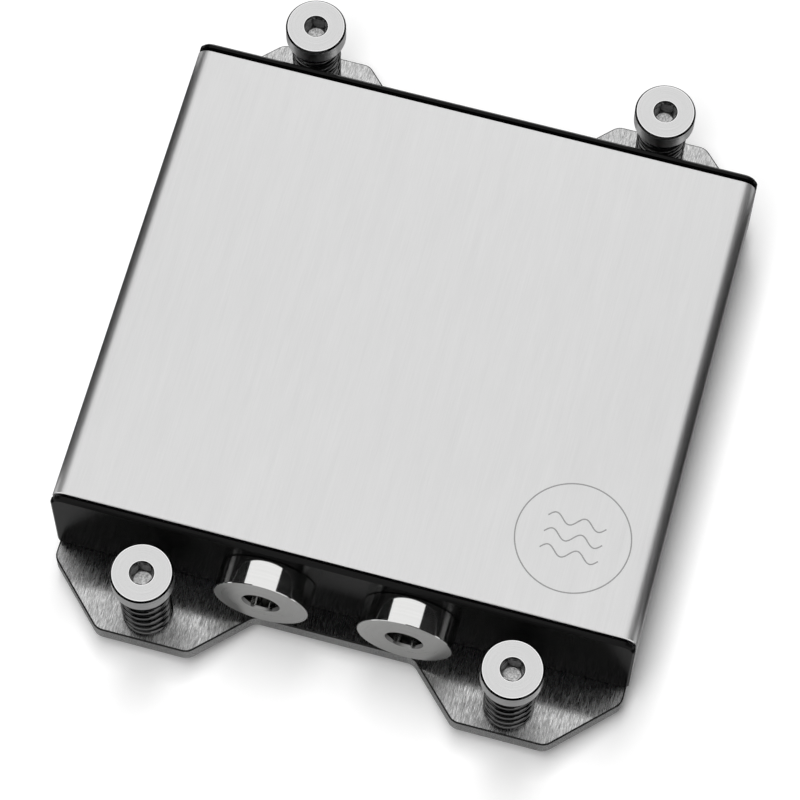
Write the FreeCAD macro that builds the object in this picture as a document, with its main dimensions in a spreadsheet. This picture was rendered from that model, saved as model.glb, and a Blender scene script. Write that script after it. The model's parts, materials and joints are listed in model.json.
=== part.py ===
import FreeCAD, Part
import math
import os
import Sketcher

# Liquid cooling cold plate for a processor socket with four screws on a 56 x 94 mm rectangle.
# +Z is up, the two coolant ports look along -Y, and the origin is the middle of the face that
# touches the processor. All lengths are in millimetres.

doc = FreeCAD.newDocument("liquid_cooling_cold_plate")

# ---------------------------------------------------------------------------
# Driving dimensions: name, value, what it measures
# ---------------------------------------------------------------------------
SIZES = [
    ("cover_width", 89.0, "folded cover, outside of one side wall to the other"),
    ("cover_height", 17.8, "cover's top face above the mounting plate"),
    ("cover_sheet", 1.0, "sheet the cover is folded from"),
    ("cover_bend", 2.2, "outside radius of the cover's folds"),
    ("cover_edge_break", 0.12, "bevel along the cover's cut edges"),
    ("cover_foot_gap", 0.25, "cover's side walls above the mounting plate"),
    ("cover_side_gap", 0.1, "cover's side walls to the manifold"),
    ("bond_thickness", 0.2, "adhesive sheet between manifold and cover"),
    ("bond_margin", 2.5, "adhesive sheet's edge inside the manifold's top"),
    ("lip_gap", 0.5, "groove between the cover's cut edge and the lip"),
    ("lip_thickness", 0.8, "manifold's end lips, front to back"),
    ("lip_bevel", 0.33, "bevel round the manifold's end faces"),
    ("foot_radius", 0.8, "manifold's lower long corners"),
    ("hole_span_x", 56.0, "captive screws, side to side"),
    ("hole_span_y", 94.0, "captive screws, front to back"),
    ("screw_room", 2.7, "captive screw's head to the manifold's end face"),
    ("plate_thickness", 3.0, "mounting plate"),
    ("plate_lift", 3.6, "mounting plate's underside above the processor"),
    ("plate_inset", 0.3, "mounting plate's side edges inside the cover's"),
    ("plate_waist", 3.8, "mounting plate in front of the manifold, between the lobes"),
    ("plate_corner", 2.2, "rounding of the mounting plate's outline"),
    ("plate_bevel", 0.22, "bevel along the mounting plate's upper edge"),
    ("lobe_inner", 7.5, "captive screw to the lobe's inner corner, sideways"),
    ("lobe_outer", 6.8, "captive screw to the lobe's outer corner, sideways"),
    ("lobe_edge", 4.5, "captive screw to the lobe's outer edge, outwards"),
    ("guide_hole", 4.5, "mounting plate's holes for the captive screws, diameter"),
    ("window_gap", 0.25, "mounting plate's window to the cold plate"),
    ("base_corner", 3.0, "cold plate's corner radius"),
    ("base_floor", 3.2, "copper left under the fins"),
    ("base_bevel", 0.4, "bevel round the face that touches the processor"),
    ("chamber_width", 44.0, "coolant chamber, side to side"),
    ("chamber_depth", 50.0, "coolant chamber, front to back"),
    ("chamber_corner", 3.5, "coolant chamber's corner radius"),
    ("chamber_height", 3.0, "coolant chamber's height inside the manifold"),
    ("fin_length", 38.0, "fins, side to side"),
    ("fin_field", 36.0, "row of fins, front to back"),
    ("fin_thickness", 0.6, "one fin"),
    ("fin_pitch", 1.2, "one fin to the next"),
    ("jet_thickness", 1.0, "jet plate lying on the fins"),
    ("jet_slot", 2.0, "jet plate's slot, side to side"),
    ("jet_corner", 1.5, "jet plate's corner radius"),
    ("plenum_width", 30.0, "inlet space over the jet plate, side to side"),
    ("plenum_depth", 28.0, "inlet space over the jet plate, front to back"),
    ("plenum_corner", 3.0, "inlet space's corner radius"),
    ("channel_bore", 6.0, "coolant channels, diameter"),
    ("riser_bore", 5.6, "upright channel from the chamber to the outlet, diameter"),
    ("riser_wall", 0.4, "upright channel to the chamber's front wall"),
    ("gasket_section", 1.5, "base gasket's round section, diameter"),
    ("gasket_land", 1.5, "wall between the chamber and the gasket's groove"),
    ("gasket_gap", 0.3, "groove's side walls to the gasket"),
    ("port_spacing", 22.0, "one coolant port to the other"),
    ("port_bore", 9.8, "threaded part of a coolant port, diameter"),
    ("port_depth", 9.0, "threaded part of a coolant port, depth"),
    ("plug_collar", 14.5, "port plug's collar, diameter"),
    ("plug_reach", 4.5, "port plug's collar, in front of the manifold"),
    ("plug_bevel", 0.22, "bevel round the port plug's face"),
    ("plug_thread", 7.5, "port plug's threaded part, length"),
    ("plug_hex", 5.0, "port plug's hexagon socket, across flats"),
    ("plug_hex_depth", 5.5, "port plug's hexagon socket, depth"),
    ("plug_hex_mouth", 5.9, "countersink at the mouth of the plug's hexagon, diameter"),
    ("seal_section", 1.3, "port plug's sealing ring, section diameter"),
    ("seal_gap", 0.15, "sealing ring to its groove's side walls"),
    ("thread_gap", 0.05, "threads, drawn plain, to the walls of their holes"),
    ("screw_stand", 17.3, "captive screw's head top above the mounting plate"),
    ("head_width", 9.4, "captive screw's head, diameter"),
    ("head_height", 3.1, "captive screw's head, height"),
    ("head_bevel", 0.35, "bevel round the captive screw's head"),
    ("hex_mouth", 3.65, "counterbore above the captive screw's hexagon, diameter"),
    ("hex_mouth_depth", 0.5, "counterbore above the captive screw's hexagon, depth"),
    ("hex_size", 3.0, "captive screw's hexagon socket, across flats"),
    ("hex_depth", 2.4, "captive screw's hexagon socket, depth from the head's top"),
    ("shank_width", 4.0, "captive screw's shank, diameter"),
    ("shank_end_lift", 0.8, "captive screw's tip above the processor's face"),
    ("shank_end_bevel", 0.4, "bevel round the captive screw's tip"),
    ("clip_width", 7.4, "retaining clip, outside diameter"),
    ("clip_thickness", 0.7, "retaining clip"),
    ("clip_opening", 2.8, "retaining clip's open side"),
    ("clip_groove_depth", 0.35, "captive screw's groove for the clip, depth"),
    ("clip_play", 0.05, "retaining clip to the walls of its groove"),
    ("spring_width", 7.7, "spring, outside diameter"),
    ("spring_wire", 0.9, "spring's wire, diameter"),
    ("spring_turns", 5.0, "turns between the spring's closed end turns"),
    ("spring_top_gap", 0.1, "spring's upper end to the screw's head"),
    ("fastener_width", 3.0, "countersunk screws' thread, diameter"),
    ("fastener_head", 5.6, "countersunk screws' head, diameter"),
    ("fastener_sink", 0.1, "countersunk heads below the surface they are sunk in"),
    ("fastener_slack", 0.2, "countersunk screws to the walls of their clearance holes"),
    ("fastener_hex", 2.0, "countersunk screws' hexagon socket, across flats"),
    ("fastener_hex_depth", 1.1, "countersunk screws' hexagon socket, depth"),
    ("fastener_bite", 5.0, "countersunk screws' reach into the manifold"),
    ("tap_spare", 1.0, "screw holes in the manifold beyond the screws' ends"),
    ("screw_land", 0.6, "wall between the gasket's groove and the cold plate's screw holes"),
    ("base_rim", 0.75, "cold plate's rim outside its screws' sinks"),
    ("base_screw_pitch", 18.0, "cold plate's side screws, one to the next"),
    ("plate_screw_pitch", 28.0, "mounting plate's screws, one to the next"),
]

sheet = doc.addObject("Spreadsheet::Sheet", "sizes")
for row, (size_name, size_value, meaning) in enumerate(SIZES, start=1):
    sheet.set(f"A{row}", size_name)
    sheet.set(f"B{row}", str(size_value))
    sheet.setAlias(f"B{row}", size_name)
    sheet.set(f"C{row}", meaning)
doc.recompute()

# Places and sizes that follow from the driving dimensions, as expressions on the sheet.
PLATE_TOP = "(sizes.plate_lift + sizes.plate_thickness)"
HALF_WIDTH = "(sizes.cover_width / 2)"
HALF_DEPTH = "((sizes.hole_span_y - sizes.head_width) / 2 - sizes.screw_room)"
COVER_DEPTH = f"(2 * ({HALF_DEPTH} - sizes.lip_thickness - sizes.lip_gap))"
BLOCK_HALF_WIDTH = "(sizes.cover_width / 2 - sizes.cover_sheet - sizes.cover_side_gap)"
BLOCK_HEIGHT = "(sizes.cover_height - sizes.cover_sheet - sizes.bond_thickness)"
INNER_BEND = "(sizes.cover_bend - sizes.cover_sheet)"
PORT_X = "(sizes.port_spacing / 2)"
PORT_Z = "(sizes.cover_height / 2)"
GUIDE_X = "(sizes.hole_span_x / 2)"
GUIDE_Y = "(sizes.hole_span_y / 2)"
SPRING_SPACE = "(sizes.screw_stand - sizes.head_height)"
TRAY_DEPTH = f"({PLATE_TOP} - sizes.base_floor)"
RISER_Y = "(sizes.chamber_depth / 2 - sizes.riser_bore / 2 - sizes.riser_wall)"
GASKET_OFFSET = "(sizes.gasket_land + sizes.gasket_gap + sizes.gasket_section / 2)"
HEAD_SINK = "((sizes.fastener_head - sizes.fastener_width) / 2)"
TAP_RADIUS = "(sizes.fastener_width / 2 + sizes.thread_gap)"
SINK_RADIUS = "(sizes.fastener_head / 2 + sizes.fastener_slack + sizes.fastener_sink)"
GROOVE_REACH = "(sizes.gasket_land + 2 * sizes.gasket_gap + sizes.gasket_section)"
BASE_SCREW_X = f"(sizes.chamber_width / 2 + {GROOVE_REACH} + sizes.screw_land + {TAP_RADIUS})"
BASE_SCREW_Y = f"(sizes.chamber_depth / 2 + {GROOVE_REACH} + sizes.screw_land + {TAP_RADIUS})"
BASE_HALF_WIDTH = f"({BASE_SCREW_X} + {SINK_RADIUS} + sizes.base_rim)"
BASE_HALF_DEPTH = f"({BASE_SCREW_Y} + {SINK_RADIUS} + sizes.base_rim)"
PLATE_SCREW_X = f"(({BASE_HALF_WIDTH} + sizes.window_gap + {BLOCK_HALF_WIDTH}) / 2)"


def number(expression):
    """The value that an expression has on the sheet now."""
    return float(sheet.evalExpression(expression))


# ---------------------------------------------------------------------------
# Sketches
# ---------------------------------------------------------------------------
def new_body(label):
    """An empty PartDesign body with its own label."""
    body = doc.addObject("PartDesign::Body", label)
    body.Label = label
    return body


def new_sketch(body, plane, offset=None):
    """A sketch on one of the body's own origin planes, moved by offset along that plane's normal."""
    sketch = body.newObject("Sketcher::SketchObject", body.Label + "_sketch")
    support = next(item for item in body.Origin.OriginFeatures if item.Role == plane)
    sketch.AttachmentSupport = [(support, "")]
    sketch.MapMode = "FlatFace"
    if offset:
        sketch.setExpression("AttachmentOffset.Base.z", offset)
    return sketch


def hold_point(sketch, geometry, position, x, y):
    """Ties one point of a sketch to the expressions x and y, measured from the sketch's origin."""
    for kind, expression in (("DistanceX", x), ("DistanceY", y)):
        index = sketch.addConstraint(
            Sketcher.Constraint(kind, -1, 1, geometry, position, number(expression)))
        sketch.setExpression(f"Constraints[{index}]", expression)


def hold_radius(sketch, geometry, radius):
    """Ties a circle's or an arc's radius to an expression."""
    index = sketch.addConstraint(Sketcher.Constraint("Radius", geometry, number(radius)))
    sketch.setExpression(f"Constraints[{index}]", radius)


def draw_polygon(sketch, corners):
    """A closed outline of straight lines through corners, each a pair of expressions."""
    first = sketch.GeometryCount
    count = len(corners)
    points = [FreeCAD.Vector(number(x), number(y), 0) for x, y in corners]
    for i in range(count):
        sketch.addGeometry(Part.LineSegment(points[i], points[(i + 1) % count]), False)
    for i in range(count):
        after = first + (i + 1) % count
        sketch.addConstraint(Sketcher.Constraint("Coincident", first + i, 2, after, 1))
    for i, (x, y) in enumerate(corners):
        hold_point(sketch, first + i, 1, x, y)


def draw_circle(sketch, x, y, radius):
    """A circle whose centre and radius are expressions."""
    centre = FreeCAD.Vector(number(x), number(y), 0)
    circle = Part.Circle(centre, FreeCAD.Vector(0, 0, 1), number(radius))
    index = sketch.addGeometry(circle, False)
    hold_point(sketch, index, 3, x, y)
    hold_radius(sketch, index, radius)


def draw_rounded_rectangle(sketch, half_x, half_y, radius):
    """A rectangle about the sketch's origin, with its four corners rounded."""
    hx, hy, r = number(half_x), number(half_y), number(radius)
    first = sketch.GeometryCount
    normal = FreeCAD.Vector(0, 0, 1)
    signs = [(1, 1), (-1, 1), (-1, -1), (1, -1)]
    for i, (sx, sy) in enumerate(signs):
        centre = FreeCAD.Vector(sx * (hx - r), sy * (hy - r), 0)
        start = math.pi / 2 * i
        circle = Part.Circle(centre, normal, r)
        sketch.addGeometry(Part.ArcOfCircle(circle, start, start + math.pi / 2), False)
    for i, (sx, sy) in enumerate(signs):
        nx, ny = signs[(i + 1) % 4]
        if sy == ny:
            ends = [(sx * (hx - r), sy * hy), (nx * (hx - r), ny * hy)]
        else:
            ends = [(sx * hx, sy * (hy - r)), (nx * hx, ny * (hy - r))]
        line = Part.LineSegment(FreeCAD.Vector(*ends[0], 0), FreeCAD.Vector(*ends[1], 0))
        sketch.addGeometry(line, False)
    for i, (sx, sy) in enumerate(signs):
        arc = first + i
        line = first + 4 + i
        sketch.addConstraint(Sketcher.Constraint("Tangent", arc, 2, line, 1))
        sketch.addConstraint(Sketcher.Constraint("Tangent", line, 2, first + (i + 1) % 4, 1))
        hold_point(sketch, arc, 3, f"{sx} * (({half_x}) - ({radius}))", f"{sy} * (({half_y}) - ({radius}))")
        hold_radius(sketch, arc, radius)


def draw_hexagon(sketch, across_flats):
    """A hexagon about the sketch's origin, with two flats level."""
    corners = []
    for i in range(6):
        reach = f"{across_flats} / 2 / cos(30)"
        corners.append((f"{reach} * cos({60 * i})", f"{reach} * sin({60 * i})"))
    draw_polygon(sketch, corners)


# ---------------------------------------------------------------------------
# Features
# ---------------------------------------------------------------------------
def pad(body, sketch, length, symmetric=False, backwards=False):
    """Adds a prism on a sketch, along the sketch's normal."""
    feature = body.newObject("PartDesign::Pad", body.Label + "_pad")
    feature.Profile = sketch
    feature.setExpression("Length", length)
    feature.SideType = "Symmetric" if symmetric else "One side"
    feature.Reversed = backwards
    doc.recompute()
    return feature


def pocket(body, sketch, depth, symmetric=False, along_normal=False, taper=0):
    """Cuts a prism below a sketch, or above it with along_normal, and makes sure it cut something."""
    volume_before = body.Shape.Volume
    feature = body.newObject("PartDesign::Pocket", body.Label + "_pocket")
    feature.Profile = sketch
    feature.setExpression("Length", depth)
    feature.SideType = "Symmetric" if symmetric else "One side"
    feature.Reversed = along_normal
    feature.TaperAngle = taper
    doc.recompute()
    if not body.Shape.Volume < volume_before:
        raise RuntimeError(f"a pocket of {body.Label} cuts nothing")
    return feature


def edge_names(shape, chosen):
    """The names of the edges of a shape for which chosen(edge) is true."""
    return [f"Edge{i}" for i, edge in enumerate(shape.Edges, start=1) if chosen(edge)]


def dress(body, kind, chosen, size):
    """Rounds (Fillet) or bevels (Chamfer) the chosen edges of the body as it stands."""
    base = body.Tip
    feature = body.newObject("PartDesign::" + kind, body.Label + "_" + kind.lower())
    feature.Base = (base, edge_names(base.Shape, chosen))
    feature.setExpression("Radius" if kind == "Fillet" else "Size", size)
    doc.recompute()
    return feature


def same(a, b):
    """Whether two lengths are equal, to a thousandth of a millimetre."""
    return abs(a - b) < 0.001


def spans(edge, axis):
    """Whether an edge is straight and runs along one axis, given as x, y or z."""
    ends = [vertex.Point for vertex in edge.Vertexes]
    if len(ends) < 2 or edge.Curve.TypeId != "Part::GeomLine":
        return False
    return all(same(getattr(ends[0], other), getattr(ends[1], other)) for other in "xyz" if other != axis)


def lies_at(edge, axis, place):
    """Whether the whole of an edge lies in the plane where one coordinate equals place."""
    box = edge.BoundBox
    low, high = getattr(box, axis.upper() + "Min"), getattr(box, axis.upper() + "Max")
    return same(low, place) and same(high, place)


def settle(body, x="0", y="0", z="0"):
    """Puts a piece in its place by expressions."""
    for axis, expression in zip("xyz", (x, y, z)):
        body.setExpression(f"Placement.Base.{axis}", expression)


# ---------------------------------------------------------------------------
# Places of the countersunk screws
# ---------------------------------------------------------------------------
def base_screw_places():
    """Four screws along each side of the cold plate, and one in the middle of its front and back."""
    places = []
    for side in (-1, 1):
        for step in (-1.5, -0.5, 0.5, 1.5):
            places.append((f"{side} * {BASE_SCREW_X}", f"{step} * sizes.base_screw_pitch"))
    for end in (-1, 1):
        places.append(("0", f"{end} * {BASE_SCREW_Y}"))
    return places


def plate_screw_places():
    """Three screws along each side of the mounting plate, midway from its window to the cover."""
    places = []
    for side in (-1, 1):
        for step in (-1, 0, 1):
            places.append((f"{side} * {PLATE_SCREW_X}", f"{step} * sizes.plate_screw_pitch"))
    return places


def countersink(body, places, thickness):
    """Clearance holes through a plate whose underside is at z = 0, each with a conical sink below."""
    holes = new_sketch(body, "XY_Plane")
    for x, y in places:
        draw_circle(holes, x, y, "sizes.fastener_width / 2 + sizes.fastener_slack")
    pocket(body, holes, thickness, along_normal=True)
    sinks = new_sketch(body, "XY_Plane")
    for x, y in places:
        draw_circle(sinks, x, y, SINK_RADIUS)
    pocket(body, sinks, f"{HEAD_SINK} + sizes.fastener_sink", along_normal=True, taper=-45)


# ---------------------------------------------------------------------------
# The pieces
# ---------------------------------------------------------------------------
def make_cold_plate():
    """Copper base: a milled tray with a row of fins, and the face that touches the processor below."""
    body = new_body("cold_plate")
    outline = new_sketch(body, "XY_Plane")
    draw_rounded_rectangle(outline, BASE_HALF_WIDTH, BASE_HALF_DEPTH, "sizes.base_corner")
    pad(body, outline, PLATE_TOP)
    dress(body, "Chamfer", lambda edge: lies_at(edge, "z", 0), "sizes.base_bevel")
    tray = new_sketch(body, "XY_Plane", PLATE_TOP)
    draw_rounded_rectangle(
        tray, "sizes.chamber_width / 2", "sizes.chamber_depth / 2", "sizes.chamber_corner")
    pocket(body, tray, TRAY_DEPTH)
    countersink(body, base_screw_places(), PLATE_TOP)

    fin_count = int(number("floor((sizes.fin_field - sizes.fin_thickness) / sizes.fin_pitch + 0.001)")) + 1
    row_reach = f"({fin_count - 1} * sizes.fin_pitch / 2)"
    first_fin = new_sketch(body, "XY_Plane", "sizes.base_floor")
    left, right = "-sizes.fin_length / 2", "sizes.fin_length / 2"
    front = f"-{row_reach} - sizes.fin_thickness / 2"
    back = f"-{row_reach} + sizes.fin_thickness / 2"
    draw_polygon(first_fin, [(left, front), (right, front), (right, back), (left, back)])
    fin = pad(body, first_fin, f"{TRAY_DEPTH} + sizes.chamber_height - sizes.jet_thickness")
    fins = body.newObject("PartDesign::LinearPattern", "fin_row")
    fins.Originals = [fin]
    fins.Direction = (first_fin, ["V_Axis"])
    fins.setExpression("Length", f"{fin_count - 1} * sizes.fin_pitch")
    fins.Occurrences = fin_count
    body.Tip = fins
    doc.recompute()
    return body


def make_mounting_plate():
    """Steel plate with four lobes for the captive screws and a window for the cold plate."""
    body = new_body("mounting_plate")
    inner_x = f"({GUIDE_X} - sizes.lobe_inner)"
    outer_x = f"({GUIDE_X} + sizes.lobe_outer)"
    edge_y = f"({GUIDE_Y} + sizes.lobe_edge)"
    waist_y = f"({HALF_DEPTH} + sizes.plate_waist)"
    side_x = f"({HALF_WIDTH} - sizes.plate_inset)"
    quarter = [
        (side_x, f"({edge_y} - ({side_x} - {outer_x}))"),
        (outer_x, edge_y),
        (inner_x, edge_y),
        (f"({inner_x} - ({edge_y} - {waist_y}))", waist_y),
    ]
    corners = list(quarter)
    corners += [(f"-{x}", y) for x, y in reversed(quarter)]
    corners += [(f"-{x}", f"-{y}") for x, y in quarter]
    corners += [(x, f"-{y}") for x, y in reversed(quarter)]
    outline = new_sketch(body, "XY_Plane")
    draw_polygon(outline, corners)
    pad(body, outline, "sizes.plate_thickness")
    dress(body, "Fillet", lambda edge: spans(edge, "z"), "sizes.plate_corner")
    top = number("sizes.plate_thickness")
    dress(body, "Chamfer", lambda edge: lies_at(edge, "z", top), "sizes.plate_bevel")

    openings = new_sketch(body, "XY_Plane")
    draw_rounded_rectangle(
        openings, f"{BASE_HALF_WIDTH} + sizes.window_gap", f"{BASE_HALF_DEPTH} + sizes.window_gap",
        "sizes.base_corner + sizes.window_gap")
    for x, y in guide_places():
        draw_circle(openings, x, y, "sizes.guide_hole / 2")
    pocket(body, openings, "sizes.plate_thickness", along_normal=True)
    countersink(body, plate_screw_places(), "sizes.plate_thickness")
    settle(body, z="sizes.plate_lift")
    return body


def make_manifold_body():
    """Acetal block with end lips for the cover, the coolant chamber below, and ports at the front."""
    body = new_body("manifold_body")
    end_face = new_sketch(body, "XZ_Plane")
    draw_polygon(end_face, [
        (f"-{HALF_WIDTH}", "0"), (HALF_WIDTH, "0"),
        (HALF_WIDTH, "sizes.cover_height"), (f"-{HALF_WIDTH}", "sizes.cover_height")])
    pad(body, end_face, f"2 * {HALF_DEPTH}", symmetric=True)
    top = number("sizes.cover_height")
    dress(body, "Fillet", lambda edge: spans(edge, "y") and lies_at(edge, "z", top), "sizes.cover_bend")
    dress(body, "Fillet", lambda edge: spans(edge, "y") and lies_at(edge, "z", 0), "sizes.foot_radius")
    end = number(HALF_DEPTH)
    dress(body, "Chamfer", lambda edge: lies_at(edge, "y", end) or lies_at(edge, "y", -end),
          "sizes.lip_bevel")

    # The middle is cut back all round, so that the cover sits flush between the two lips.
    beyond_x = f"({HALF_WIDTH} + sizes.cover_sheet)"
    beyond_z = "(sizes.cover_height + sizes.cover_sheet)"
    below_z = "(-sizes.cover_sheet)"
    seat = new_sketch(body, "XZ_Plane")
    draw_polygon(seat, [
        (f"-{beyond_x}", below_z), (f"-{beyond_x}", beyond_z), (beyond_x, beyond_z), (beyond_x, below_z),
        (BLOCK_HALF_WIDTH, below_z), (BLOCK_HALF_WIDTH, BLOCK_HEIGHT),
        (f"-{BLOCK_HALF_WIDTH}", BLOCK_HEIGHT), (f"-{BLOCK_HALF_WIDTH}", below_z)])
    pocket(body, seat, f"2 * ({HALF_DEPTH} - sizes.lip_thickness)", symmetric=True)
    block_top = number(BLOCK_HEIGHT)
    block_side = number(BLOCK_HALF_WIDTH)
    dress(body, "Fillet", lambda edge: spans(edge, "y") and lies_at(edge, "z", block_top)
          and same(abs(edge.Vertexes[0].X), block_side), INNER_BEND)

    # Coolant comes in on the left, through the plenum and the jet plate's slot, spreads over the
    # fins, and leaves by the riser and the right-hand channel.
    chamber = new_sketch(body, "XY_Plane")
    draw_rounded_rectangle(
        chamber, "sizes.chamber_width / 2", "sizes.chamber_depth / 2", "sizes.chamber_corner")
    pocket(body, chamber, "sizes.chamber_height", along_normal=True)
    plenum = new_sketch(body, "XY_Plane")
    draw_rounded_rectangle(
        plenum, "sizes.plenum_width / 2", "sizes.plenum_depth / 2", "sizes.plenum_corner")
    pocket(body, plenum, f"{PORT_Z} + sizes.channel_bore / 2", along_normal=True)
    riser = new_sketch(body, "XY_Plane")
    draw_circle(riser, PORT_X, f"-{RISER_Y}", "sizes.riser_bore / 2")
    pocket(body, riser, PORT_Z, along_normal=True)
    ports = new_sketch(body, "XZ_Plane", HALF_DEPTH)
    for side in (-1, 1):
        draw_circle(ports, f"{side} * {PORT_X}", PORT_Z, "sizes.port_bore / 2")
    pocket(body, ports, "sizes.port_depth")
    for side, reach in ((-1, "(sizes.plenum_depth / 2 - sizes.plenum_corner)"), (1, RISER_Y)):
        channel = new_sketch(body, "XZ_Plane", HALF_DEPTH)
        draw_circle(channel, f"{side} * {PORT_X}", PORT_Z, "sizes.channel_bore / 2")
        pocket(body, channel, f"{HALF_DEPTH} - {reach}")

    groove = new_sketch(body, "XY_Plane")
    for edge in ("sizes.gasket_land", GROOVE_REACH):
        draw_rounded_rectangle(
            groove, f"(sizes.chamber_width / 2 + {edge})", f"(sizes.chamber_depth / 2 + {edge})",
            f"(sizes.chamber_corner + {edge})")
    pocket(body, groove, "sizes.gasket_section", along_normal=True)
    taps = new_sketch(body, "XY_Plane")
    for x, y in base_screw_places() + plate_screw_places():
        draw_circle(taps, x, y, TAP_RADIUS)
    pocket(body, taps, "sizes.fastener_bite + sizes.tap_spare", along_normal=True)
    settle(body, z=PLATE_TOP)
    return body


def make_top_cover():
    """Brushed steel sheet folded down at both sides."""
    body = new_body("top_cover")
    inside_x = f"({HALF_WIDTH} - sizes.cover_sheet)"
    inside_z = "(sizes.cover_height - sizes.cover_sheet)"
    fold = new_sketch(body, "XZ_Plane")
    draw_polygon(fold, [
        (f"-{HALF_WIDTH}", "sizes.cover_foot_gap"), (f"-{HALF_WIDTH}", "sizes.cover_height"),
        (HALF_WIDTH, "sizes.cover_height"), (HALF_WIDTH, "sizes.cover_foot_gap"),
        (inside_x, "sizes.cover_foot_gap"), (inside_x, inside_z),
        (f"-{inside_x}", inside_z), (f"-{inside_x}", "sizes.cover_foot_gap")])
    pad(body, fold, COVER_DEPTH, symmetric=True)
    top, ceiling = number("sizes.cover_height"), number(inside_z)
    wall = number(inside_x)
    dress(body, "Fillet", lambda edge: spans(edge, "y") and lies_at(edge, "z", top), "sizes.cover_bend")
    dress(body, "Fillet", lambda edge: spans(edge, "y") and lies_at(edge, "z", ceiling)
          and same(abs(edge.Vertexes[0].X), wall), INNER_BEND)
    end = number(f"{COVER_DEPTH} / 2")
    dress(body, "Chamfer", lambda edge: spans(edge, "x") and lies_at(edge, "z", top)
          and same(abs(edge.Vertexes[0].Y), end), "sizes.cover_edge_break")
    settle(body, z=PLATE_TOP)
    return body


def make_bond_sheet():
    """Thin adhesive sheet that holds the cover on the manifold."""
    sheet_piece = doc.addObject("Part::Box", "bond_sheet")
    width = f"2 * ({BLOCK_HALF_WIDTH} - {INNER_BEND} - sizes.bond_margin)"
    depth = f"{COVER_DEPTH} - 2 * sizes.bond_margin"
    sheet_piece.setExpression("Length", width)
    sheet_piece.setExpression("Width", depth)
    sheet_piece.setExpression("Height", "sizes.bond_thickness")
    settle(sheet_piece, f"-({width}) / 2", f"-({depth}) / 2", f"{PLATE_TOP} + {BLOCK_HEIGHT}")
    return sheet_piece


def make_jet_plate():
    """Steel plate between the plenum and the fins, with one slot over the middle of the fins."""
    body = new_body("jet_plate")
    outline = new_sketch(body, "XY_Plane")
    draw_rounded_rectangle(outline, "sizes.fin_length / 2", "sizes.fin_field / 2", "sizes.jet_corner")
    half_slot, slot_end = "(sizes.jet_slot / 2)", "(sizes.plenum_depth / 2)"
    draw_polygon(outline, [
        (f"-{half_slot}", f"-{slot_end}"), (half_slot, f"-{slot_end}"),
        (half_slot, slot_end), (f"-{half_slot}", slot_end)])
    pad(body, outline, "sizes.jet_thickness")
    settle(body, z=f"{PLATE_TOP} + sizes.chamber_height - sizes.jet_thickness")
    return body


def make_base_gasket():
    """Round rubber cord in the groove round the coolant chamber."""
    body = new_body("base_gasket")
    route = new_sketch(body, "XY_Plane", "sizes.gasket_section / 2")
    reach_x = f"(sizes.chamber_width / 2 + {GASKET_OFFSET})"
    draw_rounded_rectangle(
        route, reach_x, f"(sizes.chamber_depth / 2 + {GASKET_OFFSET})",
        f"(sizes.chamber_corner + {GASKET_OFFSET})")
    section = new_sketch(body, "XZ_Plane")
    draw_circle(section, reach_x, "sizes.gasket_section / 2", "sizes.gasket_section / 2")
    ring = body.newObject("PartDesign::AdditivePipe", "base_gasket_pipe")
    ring.Profile = section
    ring.Spine = route
    doc.recompute()
    settle(body, z=PLATE_TOP)
    return body


def make_fastener(label, through):
    """One countersunk screw, head face at z = 0 and shank upwards; through is the plate it passes."""
    body = new_body(label)
    length = f"({through} + sizes.fastener_bite - sizes.fastener_sink)"
    profile = new_sketch(body, "XZ_Plane")
    draw_polygon(profile, [
        ("0", "0"), ("sizes.fastener_head / 2", "0"),
        ("sizes.fastener_width / 2", HEAD_SINK), ("sizes.fastener_width / 2", length), ("0", length)])
    turned = body.newObject("PartDesign::Revolution", label + "_turned")
    turned.Profile = profile
    turned.ReferenceAxis = (profile, ["V_Axis"])
    turned.Angle = 360
    doc.recompute()
    socket = new_sketch(body, "XY_Plane")
    draw_hexagon(socket, "sizes.fastener_hex")
    pocket(body, socket, "sizes.fastener_hex_depth", along_normal=True)
    return body


def make_fastener_group(label, places, through, face_height):
    """Copies of one countersunk screw at several places, as separate solids of one node."""
    fastener = make_fastener(label + "_pattern_piece", through)
    height = number(f"{face_height} + sizes.fastener_sink")
    copies = []
    for x, y in places:
        copy = fastener.Shape.copy()
        copy.translate(FreeCAD.Vector(number(x), number(y), height))
        copies.append(copy)
    group = doc.addObject("Part::Feature", label)
    group.Shape = Part.makeCompound(copies)
    return group


def make_port_plug(label, side):
    """Turned plug: polished collar in front of the manifold, thread behind, hexagon in its face."""
    body = new_body(label)
    face = new_sketch(body, "XZ_Plane")
    draw_circle(face, "0", "0", "sizes.plug_collar / 2")
    pad(body, face, "sizes.plug_reach")
    front = -number("sizes.plug_reach")
    dress(body, "Chamfer", lambda edge: lies_at(edge, "y", front), "sizes.plug_bevel")
    thread = new_sketch(body, "XZ_Plane")
    draw_circle(thread, "0", "0", "sizes.port_bore / 2 - sizes.thread_gap")
    pad(body, thread, "sizes.plug_thread", backwards=True)
    groove = new_sketch(body, "XZ_Plane")
    draw_circle(groove, "0", "0", "sizes.port_bore / 2 - sizes.thread_gap")
    draw_circle(groove, "0", "0", "sizes.port_bore / 2 + sizes.seal_section + 2 * sizes.seal_gap")
    pocket(body, groove, "sizes.seal_section", along_normal=True)
    mouth = new_sketch(body, "XZ_Plane", "sizes.plug_reach")
    draw_circle(mouth, "0", "0", "sizes.plug_hex_mouth / 2")
    pocket(body, mouth, "(sizes.plug_hex_mouth - sizes.plug_hex) / 2", taper=-30)
    socket = new_sketch(body, "XZ_Plane", "sizes.plug_reach")
    draw_hexagon(socket, "sizes.plug_hex")
    pocket(body, socket, "sizes.plug_hex_depth")
    settle(body, f"{side} * {PORT_X}", f"-{HALF_DEPTH}", f"{PLATE_TOP} + {PORT_Z}")
    return body


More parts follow.
